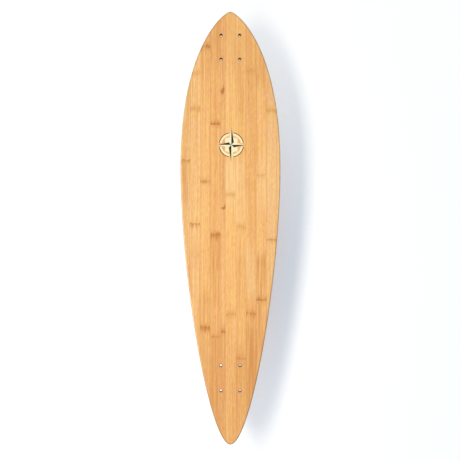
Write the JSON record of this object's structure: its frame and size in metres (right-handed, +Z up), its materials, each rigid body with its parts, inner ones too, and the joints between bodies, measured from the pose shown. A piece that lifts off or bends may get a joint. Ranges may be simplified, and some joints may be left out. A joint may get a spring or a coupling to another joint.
{
  "type": "longboard deck",
  "caption": "Bare pintail longboard deck with bamboo strip faces over a pressed maple core, mild concave, routed edges and bolt holes for two trucks.",
  "frame": {"origin": "middle of the deck's length and width, on the plane of the flat underside", "axes": "+Y towards the nose, +X to the right of a rider facing the nose, +Z up through the standing face"},
  "size_m": [0.219, 0.948, 0.0164],
  "materials": {
    "bamboo_top": "flat-pressed bamboo strips under a clear satin coat",
    "bamboo_bottom": "flat-pressed bamboo strips under a clear satin coat",
    "maple_long": "rotary-cut maple veneer, grain along the deck, sanded edge",
    "maple_cross": "rotary-cut maple veneer, grain across the deck, end grain at the edge"
  },
  "bodies": {
    "root": {"bottom_strip_left_4": "bamboo_bottom", "bottom_strip_left_3": "bamboo_bottom", "bottom_strip_left_2": "bamboo_bottom", "bottom_strip_left_1": "bamboo_bottom", "bottom_strip_splice": "bamboo_bottom", "bottom_strip_right_1": "bamboo_bottom", "bottom_strip_right_2": "bamboo_bottom", "bottom_strip_right_3": "bamboo_bottom", "bottom_strip_right_4": "bamboo_bottom", "bottom_strip_right_5": "bamboo_bottom", "bottom_strip_right_6": "bamboo_bottom", "core_ply_1_long": "maple_long", "core_ply_2_cross": "maple_cross", "core_ply_3_long": "maple_long", "core_ply_4_long": "maple_long", "core_ply_5_long": "maple_long", "core_ply_6_cross": "maple_cross", "core_ply_7_long": "maple_long", "top_strip_left_4": "bamboo_top", "top_strip_left_3": "bamboo_top", "top_strip_left_2": "bamboo_top", "top_strip_left_1": "bamboo_top", "top_strip_splice": "bamboo_top", "top_strip_right_1": "bamboo_top", "top_strip_right_2": "bamboo_top", "top_strip_right_3": "bamboo_top", "top_strip_right_4": "bamboo_top", "top_strip_right_5": "bamboo_top", "top_strip_right_6": "bamboo_top"}
  },
  "joints": []
}
